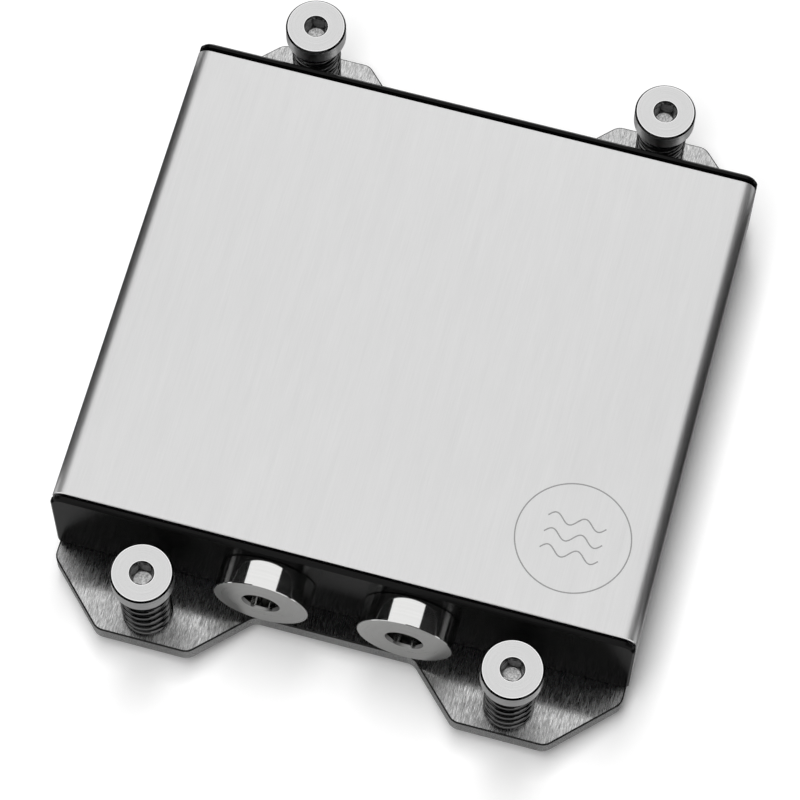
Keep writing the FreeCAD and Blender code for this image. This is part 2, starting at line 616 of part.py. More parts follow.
def make_plug_seal(label, side):
    """Rubber ring in the groove behind a plug's collar, against the manifold's face."""
    ring = doc.addObject("Part::Torus", label)
    ring.setExpression(
        "Radius1", "sizes.port_bore / 2 + sizes.seal_gap + sizes.seal_section / 2")
    ring.setExpression("Radius2", "sizes.seal_section / 2")
    ring.Placement = FreeCAD.Placement(FreeCAD.Vector(), FreeCAD.Rotation(FreeCAD.Vector(1, 0, 0), 90))
    settle(ring, f"{side} * {PORT_X}", f"-{HALF_DEPTH} - sizes.seal_section / 2", f"{PLATE_TOP} + {PORT_Z}")
    return ring


def guide_places():
    """The middles of the four captive screws."""
    return [(f"{side} * {GUIDE_X}", f"{end} * {GUIDE_Y}") for end in (-1, 1) for side in (-1, 1)]


def make_captive_screw(label, x, y):
    """Turned screw with a flat head; its groove below the mounting plate takes the retaining clip."""
    body = new_body(label)
    head, shank = "(sizes.head_width / 2)", "(sizes.shank_width / 2)"
    neck = f"({shank} - sizes.clip_groove_depth)"
    plate_under = f"({SPRING_SPACE} + sizes.plate_thickness)"
    groove_top = f"(-{plate_under} + sizes.clip_play)"
    groove_low = f"(-{plate_under} - sizes.clip_thickness - sizes.clip_play)"
    tip = f"(-{plate_under} - sizes.plate_lift + sizes.shank_end_lift)"
    profile = new_sketch(body, "XZ_Plane")
    draw_polygon(profile, [
        ("0", "sizes.head_height"), ("0", tip),
        (f"{shank} - sizes.shank_end_bevel", tip), (shank, f"{tip} + sizes.shank_end_bevel"),
        (shank, groove_low), (neck, groove_low), (neck, groove_top), (shank, groove_top),
        (shank, "0"), (head, "0"), (head, "sizes.head_height - sizes.head_bevel"),
        (f"{head} - sizes.head_bevel", "sizes.head_height")])
    turned = body.newObject("PartDesign::Revolution", label + "_turned")
    turned.Profile = profile
    turned.ReferenceAxis = (profile, ["V_Axis"])
    turned.Angle = 360
    doc.recompute()
    mouth = new_sketch(body, "XY_Plane", "sizes.head_height")
    draw_circle(mouth, "0", "0", "sizes.hex_mouth / 2")
    pocket(body, mouth, "sizes.hex_mouth_depth")
    socket = new_sketch(body, "XY_Plane", "sizes.head_height")
    draw_hexagon(socket, "sizes.hex_size")
    pocket(body, socket, "sizes.hex_depth")
    settle(body, x, y, f"{PLATE_TOP} + {SPRING_SPACE}")
    return body


def make_retaining_clip(label, x, y):
    """Open ring snapped into the captive screw's groove, under the mounting plate."""
    body = new_body(label)
    ring = new_sketch(body, "XY_Plane")
    draw_circle(ring, "0", "0", "sizes.clip_width / 2")
    draw_circle(ring, "0", "0", "sizes.shank_width / 2 - sizes.clip_groove_depth + sizes.clip_play")
    pad(body, ring, "sizes.clip_thickness", backwards=True)
    opening = new_sketch(body, "XY_Plane")
    half = "(sizes.clip_opening / 2)"
    draw_polygon(opening, [
        ("0", f"-{half}"), ("sizes.clip_width", f"-{half}"), ("sizes.clip_width", half), ("0", half)])
    pocket(body, opening, "sizes.clip_thickness")
    settle(body, x, y, "sizes.plate_lift")
    return body


def make_spring(label, x, y, start_angle):
    """Compression spring with one closed turn at each end, standing on the mounting plate."""
    wire = number("sizes.spring_wire")
    radius = number("(sizes.spring_width - sizes.spring_wire) / 2")
    open_turns = number("sizes.spring_turns")
    length = number(f"{SPRING_SPACE} - sizes.spring_top_gap")
    open_pitch = (length - 3 * wire) / open_turns
    coil_edges = []
    height, turned = wire / 2, 0
    for pitch, turns in ((wire, 1), (open_pitch, open_turns), (wire, 1)):
        coil = Part.makeHelix(pitch, pitch * turns, radius)
        coil.rotate(FreeCAD.Vector(), FreeCAD.Vector(0, 0, 1), 360 * turned)
        coil.translate(FreeCAD.Vector(0, 0, height))
        coil_edges += coil.Edges
        height += pitch * turns
        turned += turns
    path = Part.Wire(coil_edges)
    wire_end = FreeCAD.Vector(radius, 0, wire / 2)
    section = Part.Wire(Part.makeCircle(wire / 2, wire_end, FreeCAD.Vector(0, 1, 0)))
    spring = doc.addObject("Part::Feature", label)
    spring.Shape = path.makePipeShell([section], True, True)
    spring.Placement = FreeCAD.Placement(
        FreeCAD.Vector(number(x), number(y), number(PLATE_TOP)),
        FreeCAD.Rotation(FreeCAD.Vector(0, 0, 1), start_angle))
    return spring


pieces = [
    make_cold_plate(),
    make_mounting_plate(),
    make_manifold_body(),
    make_top_cover(),
    make_bond_sheet(),
    make_jet_plate(),
    make_base_gasket(),
    make_fastener_group("base_screws", base_screw_places(), PLATE_TOP, "0"),
    make_fastener_group("plate_screws", plate_screw_places(), "sizes.plate_thickness", "sizes.plate_lift"),
]
for side_name, side in (("left", -1), ("right", 1)):
    pieces.append(make_port_plug(f"port_plug_{side_name}", side))
    pieces.append(make_plug_seal(f"plug_seal_{side_name}", side))

corner_names = ("front_left", "front_right", "back_left", "back_right")
spring_angles = (39, 349, 20, 200)
for corner, (x, y), angle in zip(corner_names, guide_places(), spring_angles):
    pieces.append(make_captive_screw(f"captive_screw_{corner}", x, y))
    pieces.append(make_retaining_clip(f"retaining_clip_{corner}", x, y))
    pieces.append(make_spring(f"screw_spring_{corner}", x, y, angle))

# ---------------------------------------------------------------------------
# Checks and files
# ---------------------------------------------------------------------------
doc.recompute()
for item in doc.Objects:
    if "Invalid" in item.State or "Error" in item.State:
        raise RuntimeError(f"{item.Label} could not be computed")
for piece in pieces:
    if piece.Shape.isNull() or not piece.Shape.isValid():
        raise RuntimeError(f"{piece.Label} has no valid shape")

os.makedirs("parts", exist_ok=True)
for piece in pieces:
    piece.Shape.exportStep(f"parts/{piece.Label}.step")
    box = piece.Shape.BoundBox
    print(f"{piece.Label:28s} {len(piece.Shape.Solids)} solid(s) {piece.Shape.Volume:10.1f} mm3  "
          f"z {box.ZMin:.2f} to {box.ZMax:.2f}")
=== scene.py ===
# %% [markdown]
# # Liquid cooling cold plate
#
# A cold plate sits on a server processor and carries its heat away in flowing coolant. This one
# is a black plastic block with a folded steel cover, on a steel plate with four sprung screws.
# The CAD model gives every piece its real place and size, in metres. This script dresses it:
# it gives the pieces their finishes, and models again the ones whose finish is in their shape.

# %% The frame
import json
import math
import bpy
import numpy as np
from mathutils import Matrix, Vector


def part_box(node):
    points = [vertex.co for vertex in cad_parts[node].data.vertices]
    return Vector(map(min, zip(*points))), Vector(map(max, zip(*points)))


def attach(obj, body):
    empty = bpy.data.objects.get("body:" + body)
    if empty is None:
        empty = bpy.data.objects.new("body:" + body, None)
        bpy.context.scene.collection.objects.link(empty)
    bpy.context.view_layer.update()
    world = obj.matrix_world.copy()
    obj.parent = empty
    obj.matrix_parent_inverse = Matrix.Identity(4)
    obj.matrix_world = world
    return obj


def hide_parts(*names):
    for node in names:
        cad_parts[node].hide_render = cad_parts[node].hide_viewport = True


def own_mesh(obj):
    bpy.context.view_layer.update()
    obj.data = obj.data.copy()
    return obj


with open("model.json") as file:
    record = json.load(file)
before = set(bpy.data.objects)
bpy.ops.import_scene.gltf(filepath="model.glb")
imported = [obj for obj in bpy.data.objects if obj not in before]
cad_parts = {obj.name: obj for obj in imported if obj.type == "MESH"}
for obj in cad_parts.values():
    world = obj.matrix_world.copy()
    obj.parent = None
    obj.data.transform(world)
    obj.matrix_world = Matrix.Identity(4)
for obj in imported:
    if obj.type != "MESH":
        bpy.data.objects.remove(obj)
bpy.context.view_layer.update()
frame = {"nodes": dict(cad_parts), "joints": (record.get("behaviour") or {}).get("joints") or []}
nodes = frame["nodes"]
MM = 0.001
CORNERS = ("front_left", "front_right", "back_left", "back_right")
SIDES = ("left", "right")

# %% [markdown]
# ## Camera
#
# A long lens from above keeps the sides of the square cover nearly parallel, as in a catalogue
# picture. A camera could be aimed with a Track To constraint, but three plain turns are easier to
# read: tip the lens up from straight down, turn it round the object, then roll it a little.

# %% Camera
CAMERA_PLACE = Vector((54.03, -219.80, 533.04)) * MM
CAMERA_AZIMUTH = math.radians(14.166)
CAMERA_ELEVATION = math.radians(67.025)
CAMERA_ROLL = math.radians(1.144)
LENS = 166.94
SENSOR = 36.0

camera_data = bpy.data.cameras.new("camera")
camera_data.lens = LENS
camera_data.sensor_width = SENSOR
camera_data.clip_start = 0.01
camera = bpy.data.objects.new("camera", camera_data)
bpy.context.scene.collection.objects.link(camera)
turn = Matrix.Rotation(CAMERA_AZIMUTH, 4, "Z")
tip = Matrix.Rotation(math.pi / 2 - CAMERA_ELEVATION, 4, "X")
roll = Matrix.Rotation(CAMERA_ROLL, 4, "Z")
camera.matrix_world = Matrix.Translation(CAMERA_PLACE) @ turn @ tip @ roll
bpy.context.scene.camera = camera
print("camera is", round(CAMERA_PLACE.length / MM), "mm from the contact face")

# %% [markdown]
# ## Helpers for materials
#
# Every material below is a small graph of nodes. One function adds a node, sets it and links it,
# so that a material reads as a list of what it is made of. Colours are written as on a paint
# card, in sRGB hex, and turned to the linear numbers that a renderer adds and multiplies. The
# other functions are the few steps that most finishes share.

# %% Node and colour helpers
def add(tree, kind, inputs=None, **settings):
    """Adds a node of one kind; inputs maps each socket to a value or to another node's output."""
    node = tree.nodes.new(kind)
    for name, value in settings.items():
        setattr(node, name, value)
    for socket, value in (inputs or {}).items():
        if isinstance(value, bpy.types.NodeSocket):
            tree.links.new(value, node.inputs[socket])
        else:
            node.inputs[socket].default_value = value
    return node


def linear(hex_colour):
    """sRGB hex to linear: c becomes c / 12.92 near black, else ((c + 0.055) / 1.055)^2.4."""
    channels = [int(hex_colour[i:i + 2], 16) / 255 for i in (1, 3, 5)]
    return [c / 12.92 if c <= 0.04045 else ((c + 0.055) / 1.055) ** 2.4 for c in channels] + [1.0]


def new_tree(name):
    """A material's empty node tree, with the output that its shader goes to."""
    material = bpy.data.materials.new(name)
    material.use_nodes = True
    material.node_tree.nodes.clear()
    return material, material.node_tree


NOISE_LOW, NOISE_HIGH = 0.3, 0.7


def even_noise(tree, size, detail=2.0):
    """Noise whose blotches are size across in metres, alike in all directions."""
    place = add(tree, "ShaderNodeTexCoord")
    return add(tree, "ShaderNodeTexNoise",
               {"Vector": place.outputs["Object"], "Scale": 1 / size, "Detail": detail}).outputs[0]


def mapped(tree, value, to_low=0.0, to_high=1.0, from_low=NOISE_LOW, from_high=NOISE_HIGH):
    """Stretches a range, by default the one that noise mostly stays in, to another range."""
    return add(tree, "ShaderNodeMapRange",
               {"Value": value, "From Min": from_low, "From Max": from_high,
                "To Min": to_low, "To Max": to_high}).outputs[0]


def blend(tree, share, dark_hex, light_hex):
    """The colour that lies a share of the way from one sRGB hex colour to another."""
    return add(tree, "ShaderNodeMix", {0: share, 6: linear(dark_hex), 7: linear(light_hex)},
               data_type="RGBA").outputs[2]


def relief(tree, height, strength, distance):
    """A bump from a height between 0 and 1, which stands for a distance in metres."""
    return add(tree, "ShaderNodeBump",
               {"Height": height, "Strength": strength, "Distance": distance}).outputs[0]


def principled(tree, inputs):
    """A Principled shader, linked to the material's output."""
    shader = add(tree, "ShaderNodeBsdfPrincipled", inputs)
    add(tree, "ShaderNodeOutputMaterial", {"Surface": shader.outputs[0]})


# %% [markdown]
# ## Studio
#
# Metal shows its surroundings more than its own colour, so the studio is half of the finish. A
# strip lamp hangs overhead, a little to the left, and lies front to back: its shadow is narrow
# beside the block and soft before it. For reflections the room is white, with three black flags
# bent over the part like hoops: they draw the dark lines along folds and round surfaces, and are
# narrow, so that the metal stays bright from most other sides. Six low black cards stand before
# and beside the part, for its small round pieces to mirror. Under it lie a grey felt and a black
# border, which tone down the upright faces. Only reflections see all these screens.

# %% Studio light
LAMP_PLACE = Vector((-0.06, -0.03, 0.80))
LAMP_WIDTH, LAMP_LENGTH = 0.22, 0.90
LAMP_LEVEL = 0.85
AMBIENT = 0.20


def light_per_watt(place, width, length, steps=41):
    """What one watt of a lamp facing straight down gives the origin, as a share of full white.

    Each bit of lamp dA at distance r gives cos * cos * dA / r^2 with both cosines height / r; a
    white sheet then shines with 1 / pi of the sum, and a watt shines with 1 / (pi * area).
    """
    x = place.x + (np.arange(steps) / (steps - 1) - 0.5) * width
    y = place.y + (np.arange(steps) / (steps - 1) - 0.5) * length
    x, y = np.meshgrid(x, y)
    falloff = place.z ** 2 / (x ** 2 + y ** 2 + place.z ** 2) ** 2
    return falloff.mean() / math.pi ** 2


lamp_data = bpy.data.lights.new("strip_lamp", "AREA")
lamp_data.shape = "RECTANGLE"
lamp_data.size, lamp_data.size_y = LAMP_WIDTH, LAMP_LENGTH
lamp_data.energy = LAMP_LEVEL / light_per_watt(LAMP_PLACE, LAMP_WIDTH, LAMP_LENGTH)
lamp = bpy.data.objects.new("strip_lamp", lamp_data)
bpy.context.scene.collection.objects.link(lamp)
lamp.location = LAMP_PLACE
lamp.visible_camera = False
lamp.visible_glossy = False
print("strip lamp:", round(lamp_data.energy, 1), "W")


def seen_directly(tree):
    """1 for rays from the camera, a reflection or a lens, 0 for light that falls on things."""
    rays = add(tree, "ShaderNodeLightPath").outputs
    either = add(tree, "ShaderNodeMath", {0: rays["Is Camera Ray"], 1: rays["Is Glossy Ray"]},
                 operation="MAXIMUM")
    any_of = add(tree, "ShaderNodeMath", {0: either.outputs[0], 1: rays["Is Transmission Ray"]},
                 operation="MAXIMUM")
    return any_of.outputs[0]


world = bpy.data.worlds.new("white_room")
world.use_nodes = True
room = world.node_tree
room.nodes.clear()
room_level = mapped(room, seen_directly(room), to_low=AMBIENT, from_low=0.0, from_high=1.0)
sky = add(room, "ShaderNodeBackground", {"Color": linear("#ffffff"), "Strength": room_level})
add(room, "ShaderNodeOutputWorld", {"Surface": sky.outputs[0]})
bpy.context.scene.world = world
bpy.context.scene.view_settings.view_transform = "Standard"

# %% [markdown]
# The floor is a sheet of matt white paper. It could be a shadow catcher, but a plain diffuse sheet
# with a little glow for the camera stays white to the picture's edge and keeps its shadows.

# %% Floor and flags
def mesh_piece(name, points, faces, material):
    """An object at the origin from an array of points in metres and a list of faces."""
    mesh = bpy.data.meshes.new(name)
    mesh.from_pydata(points.tolist(), [], faces)
    mesh.validate()
    mesh.materials.append(material)
    piece = bpy.data.objects.new(name, mesh)
    bpy.context.scene.collection.objects.link(piece)
    return piece


def grid_faces(rows, columns, closed_rows=False, closed_columns=False):
    """Quads between neighbouring points of a rows x columns grid, joined round where closed."""
    i, j = np.meshgrid(np.arange(rows if closed_rows else rows - 1),
                       np.arange(columns if closed_columns else columns - 1), indexing="ij")
    after_i, after_j = (i + 1) % rows, (j + 1) % columns
    quads = np.stack([i * columns + j, after_i * columns + j,
                      after_i * columns + after_j, i * columns + after_j], axis=-1)
    return quads.reshape(-1, 4).tolist()


FLOOR_REACH = 3.0
FLOOR_GAP = 0.05 * MM
FLOOR_GLOW = 0.10

paper, tree = new_tree("matt_white_paper")
tint = blend(tree, even_noise(tree, 40 * MM), "#f9f9f9", "#fbfbfb")
matt = add(tree, "ShaderNodeBsdfDiffuse", {"Color": tint})
glow_level = add(tree, "ShaderNodeMath", {0: seen_directly(tree), 1: FLOOR_GLOW},
                 operation="MULTIPLY")
glow = add(tree, "ShaderNodeEmission", {"Strength": glow_level.outputs[0]})
both = add(tree, "ShaderNodeAddShader", {0: matt.outputs[0], 1: glow.outputs[0]})
add(tree, "ShaderNodeOutputMaterial", {"Surface": both.outputs[0]})

corner_signs = np.array([(-1, -1), (1, -1), (1, 1), (-1, 1)], float)
floor_points = np.column_stack([corner_signs * FLOOR_REACH, np.full(4, -FLOOR_GAP)])
floor = mesh_piece("floor", floor_points, [[0, 1, 2, 3]], paper)

FLAG_RADIUS = 0.70
FLAG_ROWS, FLAG_COLUMNS = 8, 90

# Each flag: its place along the front-to-back axis, as a share of the radius, from and to, and
# the angle that it covers round that axis, in degrees from the floor on the right.
FLAGS = {
    "right_flag": (0.22, 0.52, 0.5, 59.0),
    "left_flag": (0.22, 0.52, 134.0, 179.5),
    "front_flag": (-0.50, -0.15, 3.0, 177.0),
}


def flag_surface(share_from, share_to, angle_from, angle_to):
    """The point at share s along Y and angle a round it: (c cos a, s, c sin a), c^2 = 1 - s^2."""
    along = np.linspace(share_from, share_to, FLAG_ROWS)[:, None]
    around = np.radians(np.linspace(angle_from, angle_to, FLAG_COLUMNS))[None, :]
    across = np.sqrt(1 - along ** 2)
    return FLAG_RADIUS * np.stack([across * np.cos(around), along + 0 * around,
                                   across * np.sin(around)], axis=-1)


def studio_cloth(name, dark_hex, light_hex, size):
    """A matt cloth, uneven by noise of one size in metres."""
    material, tree = new_tree(name)
    tone = blend(tree, even_noise(tree, size), dark_hex, light_hex)
    cloth = add(tree, "ShaderNodeBsdfDiffuse", {"Color": tone})
    add(tree, "ShaderNodeOutputMaterial", {"Surface": cloth.outputs[0]})
    return material


black_cloth = studio_cloth("black_flag_cloth", "#040404", "#080808", 120 * MM)
grey_felt = studio_cloth("grey_studio_felt", "#999999", "#a1a1a1", 15 * MM)
flag_faces = grid_faces(FLAG_ROWS, FLAG_COLUMNS)
screens = [mesh_piece(name, flag_surface(*extent).reshape(-1, 3), flag_faces, black_cloth)
           for name, extent in FLAGS.items()]

# Sheets on the floor: lowest and highest x and y in millimetres, and how far under the part.
BORDER = (-90, 90, -95, 75, 0.035)
FELT = (-58, 58, -95, 66, 0.02)

# Low black cards round the part: two points on the floor, then the heights from and to, in mm.
CARDS = {
    "close_card_left": ((-42, -58), (-20, -58), 22, 31),
    "close_card_right": ((14, -58), (36, -58), 22, 31),
    "near_card_left": ((-46, -68), (-20, -68), 17, 33),
    "near_card_right": ((10, -68), (36, -68), 17, 33),
    "right_card": ((90, -19), (90, 60), 0, 24),
    "left_card": ((-90, 60), (-90, -19), 0, 24),
}


def sheet_on_floor(name, extent, material):
    """A rectangle just above the paper, from its four bounds."""
    x_low, x_high, y_low, y_high, gap = extent
    corners = np.array([(x_low, y_low, -gap), (x_high, y_low, -gap),
                        (x_high, y_high, -gap), (x_low, y_high, -gap)])
    return mesh_piece(name, corners * MM, [[0, 1, 2, 3]], material)


for name, (start, end, z_low, z_high) in CARDS.items():
    corners = np.array([(*start, z_low), (*end, z_low), (*end, z_high), (*start, z_high)])
    screens.append(mesh_piece(name, corners * MM, [[0, 1, 2, 3]], black_cloth))
screens.append(sheet_on_floor("black_border", BORDER, black_cloth))
screens.append(sheet_on_floor("grey_felt", FELT, grey_felt))
for screen in screens:
    screen.visible_camera = False
    screen.visible_diffuse = False
    screen.visible_shadow = False
print(len(screens), "screens for reflections")

# %% [markdown]
# ## Brushed steel
#
# The cover and the mounting plate are stainless steel rubbed with an abrasive belt, front to
# back. The belt leaves long scratches, finer than a hair, that spread a reflection sideways and
# hardly at all lengthways: on the plate the black block is mirrored with a sharp edge. That
# spread is the shader's anisotropy; the scratches are noise drawn out along the grain.

# %% Brushed steel materials
GRAIN_ALONG = (0.0, 1.0, 0.0)
QUARTER_TURN = 0.25
SCRATCH_DEPTH = 0.02 * MM

# How much of the face's colour is kept, by how far up the surface looks: 0 is the sawn edge, 1
# the face, and between them lies the bevel. What is taken away is painted shade: a little on the
# sawn edge, nearly all on the bevel.
PAINTED_EDGE_SHADE, PAINTED_BEVEL_SHADE = 0.80, 0.03
PAINTED_SHADE_STEPS = ((0.45, PAINTED_EDGE_SHADE), (0.60, PAINTED_BEVEL_SHADE), (0.85, PAINTED_BEVEL_SHADE), (0.97, 1))
# The broad streaks and the torn scratches are this many times the fine streaks' width and length.
BROAD_WIDTH, BROAD_LENGTH = 5, 4
TORN_WIDTH, TORN_LENGTH = 1.3, 1.7
TORN_LOW, TORN_HIGH = 0.4, 0.65


def stretched_noise(tree, across, along, detail=3.0):
    """Noise whose streaks are across wide and along long, in metres, running front to back."""
    place = add(tree, "ShaderNodeTexCoord")
    scaled = add(tree, "ShaderNodeMapping", {"Vector": place.outputs["Object"],
                                             "Scale": (1 / across, 1 / along, 1 / across)})
    return add(tree, "ShaderNodeTexNoise", {"Vector": scaled.outputs[0], "Scale": 1.0,
                                            "Detail": detail, "Roughness": 0.65}).outputs[0]


def painted_shade_by_facing(tree, colour):
    """The colour, darkened where the surface doesn't look straight up or down: painted shade on
    edges and bevels.
    """
    normal = add(tree, "ShaderNodeTexCoord").outputs["Normal"]
    facing = add(tree, "ShaderNodeSeparateXYZ", {0: normal})
    level = add(tree, "ShaderNodeMath", {0: facing.outputs["Z"]}, operation="ABSOLUTE").outputs[0]
    kept = add(tree, "ShaderNodeValToRGB", {"Fac": level})
    ramp = kept.color_ramp.elements
    ramp[0].color = (PAINTED_EDGE_SHADE, PAINTED_EDGE_SHADE, PAINTED_EDGE_SHADE, 1)
    ramp[1].color = (1, 1, 1, 1)
    for position, share in PAINTED_SHADE_STEPS:
        ramp.new(position).color = (share, share, share, 1)
    return add(tree, "ShaderNodeVectorMath", {0: colour, 1: kept.outputs[0]},
               operation="MULTIPLY").outputs[0]


def brushed_steel(name, dark_hex, light_hex, width, length, roughness, anisotropy, bump,
                  shade_painted_on_edges=False, broad_share=0.3):
    """Belt-brushed stainless steel: streaks width across and length along the grain, in metres.

    roughness is a pair: that of the smooth lands, and that of the torn scratches between them.
    With edge shade asked for, the sawn edge gets painted shade and its deburred bevel darker
    painted shade.
    """
    material, tree = new_tree(name)
    fine = stretched_noise(tree, width, length)
    broad = stretched_noise(tree, width * BROAD_WIDTH, length * BROAD_LENGTH, detail=1.0)
    streaks = add(tree, "ShaderNodeMix", {0: broad_share, 2: fine, 3: broad}, data_type="FLOAT")
    colour = blend(tree, mapped(tree, streaks.outputs[0]), dark_hex, light_hex)
    # Painted shade on the sawn edges and bevels.
    if shade_painted_on_edges:
        colour = painted_shade_by_facing(tree, colour)
    torn = stretched_noise(tree, width * TORN_WIDTH, length * TORN_LENGTH)
    rough = mapped(tree, torn, *roughness, from_low=TORN_LOW, from_high=TORN_HIGH)
    grain = add(tree, "ShaderNodeCombineXYZ", dict(zip("XYZ", GRAIN_ALONG))).outputs[0]
    principled(tree, {"Base Color": colour, "Metallic": 1.0, "Roughness": rough,
                      "Anisotropic": anisotropy, "Anisotropic Rotation": QUARTER_TURN,
                      "Tangent": grain, "Normal": relief(tree, fine, bump, SCRATCH_DEPTH)})
    return material


cover_steel = brushed_steel("fine_brushed_stainless_steel", "#e1e1e1", "#e7e7e7",
                            width=0.16 * MM, length=6 * MM, roughness=(0.28, 0.32),
                            anisotropy=0.9, bump=0.01)
# The plate's sawn edges and bevels carry painted shade.
plate_steel = brushed_steel("coarse_brushed_stainless_steel", "#808080", "#ffffff",
                            width=0.08 * MM, length=0.8 * MM, roughness=(0.17, 0.42),
                            anisotropy=1.0, bump=0.04, shade_painted_on_edges=True, broad_share=0.08)


def dress(node, material):
    """Gives a CAD node's material slots this finish, with the mesh left as it is."""
    for material_slot in nodes[node].material_slots:
        material_slot.material = material


dress("top_cover", cover_steel)
dress("mounting_plate", plate_steel)
dress("jet_plate", plate_steel)

# %% [markdown]
# ## Plain finishes
#
# The block is acetal, a hard slippery plastic milled to shape, nearly black with a satin sheen.
# The rubber, the copper base's nickel plate and the small steel parts differ from it only in
# colour, shine and the size of their unevenness, so one function makes them all.

# %% Plain finishes
PLAIN_RELIEF = 0.02 * MM
ROUGHNESS_SWING = 0.1


def plain_finish(name, dark_hex, light_hex, grain, roughness, metallic=0.0, bump=0.0, ior=1.5,
                 specular=0.5):
    """A finish whose colour, roughness and height vary with noise, grain across in metres."""
    material, tree = new_tree(name)
    noise = even_noise(tree, grain, detail=4.0)
    settings = {"Base Color": blend(tree, mapped(tree, noise), dark_hex, light_hex),
                "Metallic": metallic,
                "Roughness": mapped(tree, noise, roughness * (1 - ROUGHNESS_SWING),
                                    roughness * (1 + ROUGHNESS_SWING)),
                "Normal": relief(tree, noise, bump, PLAIN_RELIEF)}
    if not metallic:
        settings["IOR"], settings["Specular IOR Level"] = ior, specular
    principled(tree, settings)
    return material


acetal = plain_finish("milled_black_acetal", "#040404", "#060606", 0.4 * MM, 0.22,
                      bump=0.03, ior=1.48, specular=0.14)
rubber = plain_finish("moulded_black_rubber", "#101010", "#181818", 0.3 * MM, 0.6,
                      bump=0.1, ior=1.52)
nickel_base = plain_finish("lapped_nickel_plate", "#b9b3a8", "#cdc7bb", 0.25 * MM, 0.2,
                           metallic=1.0, bump=0.05)
black_oxide = plain_finish("black_oxide_steel", "#1b1b1c", "#262628", 0.2 * MM, 0.35,
                           metallic=1.0, bump=0.1)
spring_wire = plain_finish("black_coated_spring_wire", "#050505", "#080808", 0.3 * MM, 0.09,
                           bump=0.01, ior=2.0)
clip_steel = plain_finish("stamped_spring_steel", "#5d5d5e", "#747475", 0.2 * MM, 0.35,
                          metallic=1.0, bump=0.1)
film = plain_finish("clear_adhesive_film", "#c4c4be", "#d0d0ca", 0.5 * MM, 0.5, bump=0.05)

dress("manifold_body", acetal)
dress("cold_plate", nickel_base)
dress("bond_sheet", film)
dress("base_gasket", rubber)
dress("base_screws", black_oxide)
dress("plate_screws", black_oxide)
for side in SIDES:
    dress(f"plug_seal_{side}", rubber)
for corner in CORNERS:
    dress(f"retaining_clip_{corner}", clip_steel)

# %% [markdown]
# ## Turned metal
#
# Plugs and screws are cut on a lathe, where the tool leaves rings finer than a hair. The rings
# follow the surface, so the pattern reads the piece's own UV map, whose first number is the way
# along the profile in metres and whose second is the turn round the axis, from 0 to 1.

# %% Turned metal materials
TURNED_RELIEF = 0.01 * MM
UNEVEN_PER_TURN = 3.0


def turned_metal(name, dark_hex, light_hex, ring_width, roughness, bump):
    """Metal from a lathe: rings of noise across the profile, ring_width wide in metres."""
    material, tree = new_tree(name)
    own_map = add(tree, "ShaderNodeUVMap", uv_map="profile")
    scaled = add(tree, "ShaderNodeMapping", {"Vector": own_map.outputs[0],
                                             "Scale": (1 / ring_width, UNEVEN_PER_TURN, 1.0)})
    rings = add(tree, "ShaderNodeTexNoise",
                {"Vector": scaled.outputs[0], "Scale": 1.0, "Detail": 3.0}).outputs[0]
    principled(tree, {"Base Color": blend(tree, mapped(tree, rings), dark_hex, light_hex),
                      "Metallic": 1.0,
                      "Roughness": mapped(tree, rings, roughness * (1 - ROUGHNESS_SWING),
                                          roughness * (1 + ROUGHNESS_SWING)),
                      "Normal": relief(tree, rings, bump, TURNED_RELIEF)})
    return material


head_face = turned_metal("fine_turned_steel_face", "#d2d2d2", "#dadada", 0.15 * MM, 0.22, 0.05)
head_side = turned_metal("turned_steel_side", "#d6d6d6", "#e6e6e6", 0.2 * MM, 0.30, 0.1)
# A painted dark reflection: the bevels are near black all round.
bevel_painted_dark = turned_metal("head_bevel_painted_reflection", "#1c1c1c", "#262626", 0.1 * MM, 0.15, 0.0)
# Painted shade: the socket's walls are dark steel.
socket_painted_shade = turned_metal("broached_hexagon_painted_shade", "#404040", "#666666", 0.2 * MM, 0.25, 0.2)
# A painted highlight: the drill's cone at the socket's bottom is painted light grey to white.
cone_painted_highlight = plain_finish("drill_point_painted_highlight", "#909090", "#ffffff", 0.30 * MM, 0.5,
                             metallic=0.35, bump=1.0)
# Painted highlights: thin near-white rings at the head's edge and the socket's rim.
ring_painted_highlight = turned_metal("steel_rim_painted_highlight", "#f4f4f4", "#fafafa", 0.1 * MM, 0.2, 0.0)
bright_nickel = turned_metal("polished_nickel_plate", "#e2e2e1", "#e8e8e7", 0.4 * MM, 0.08, 0.0)
satin_nickel = turned_metal("satin_nickel_face", "#e2e2e0", "#ececea", 0.15 * MM, 0.30, 0.05)
# Painted shade: the plug's countersink is nickel painted darker than the collar and face.
countersink_painted_shade = turned_metal("nickel_sink_painted_shade", "#888887", "#959594", 0.1 * MM, 0.35, 0.1)

# %% [markdown]
# ## Turned pieces
#
# A screw is a profile carried round an axis. Blender's Screw or Spin modifier could do that, but
# a socket is a hexagon and a thread is a slow spiral, so the radius has to change with the angle
# too. Here each ring of the profile has its own outline: a circle, a hexagon, or a thread.

# %% Surfaces from a profile
def circle(radius):
    """An outline of constant radius, in millimetres."""
    return lambda angle, height: np.full_like(angle, radius)


def hexagon(flats):
    """Half the width over the flats, divided by the cosine of the angle from the nearest flat."""
    third = math.pi / 3
    return lambda angle, height: flats / 2 / np.cos(angle % third - third / 2)


FLAT_SHARE = 0.2
RINGS_PER_PITCH = 6
SHARP_ANGLE = math.radians(28)


def thread(crest, depth, pitch):
    """The crest radius less depth times a triangle wave, which rises one pitch in each turn.

    The wave is drawn higher than it is cut off, so the crest and the root are flat.
    """
    def outline(angle, height):
        phase = (height / pitch - angle / (2 * math.pi)) % 1
        return crest - depth * np.clip(abs(2 * phase - 1) * (1 + 2 * FLAT_SHARE) - FLAT_SHARE, 0, 1)
    return outline


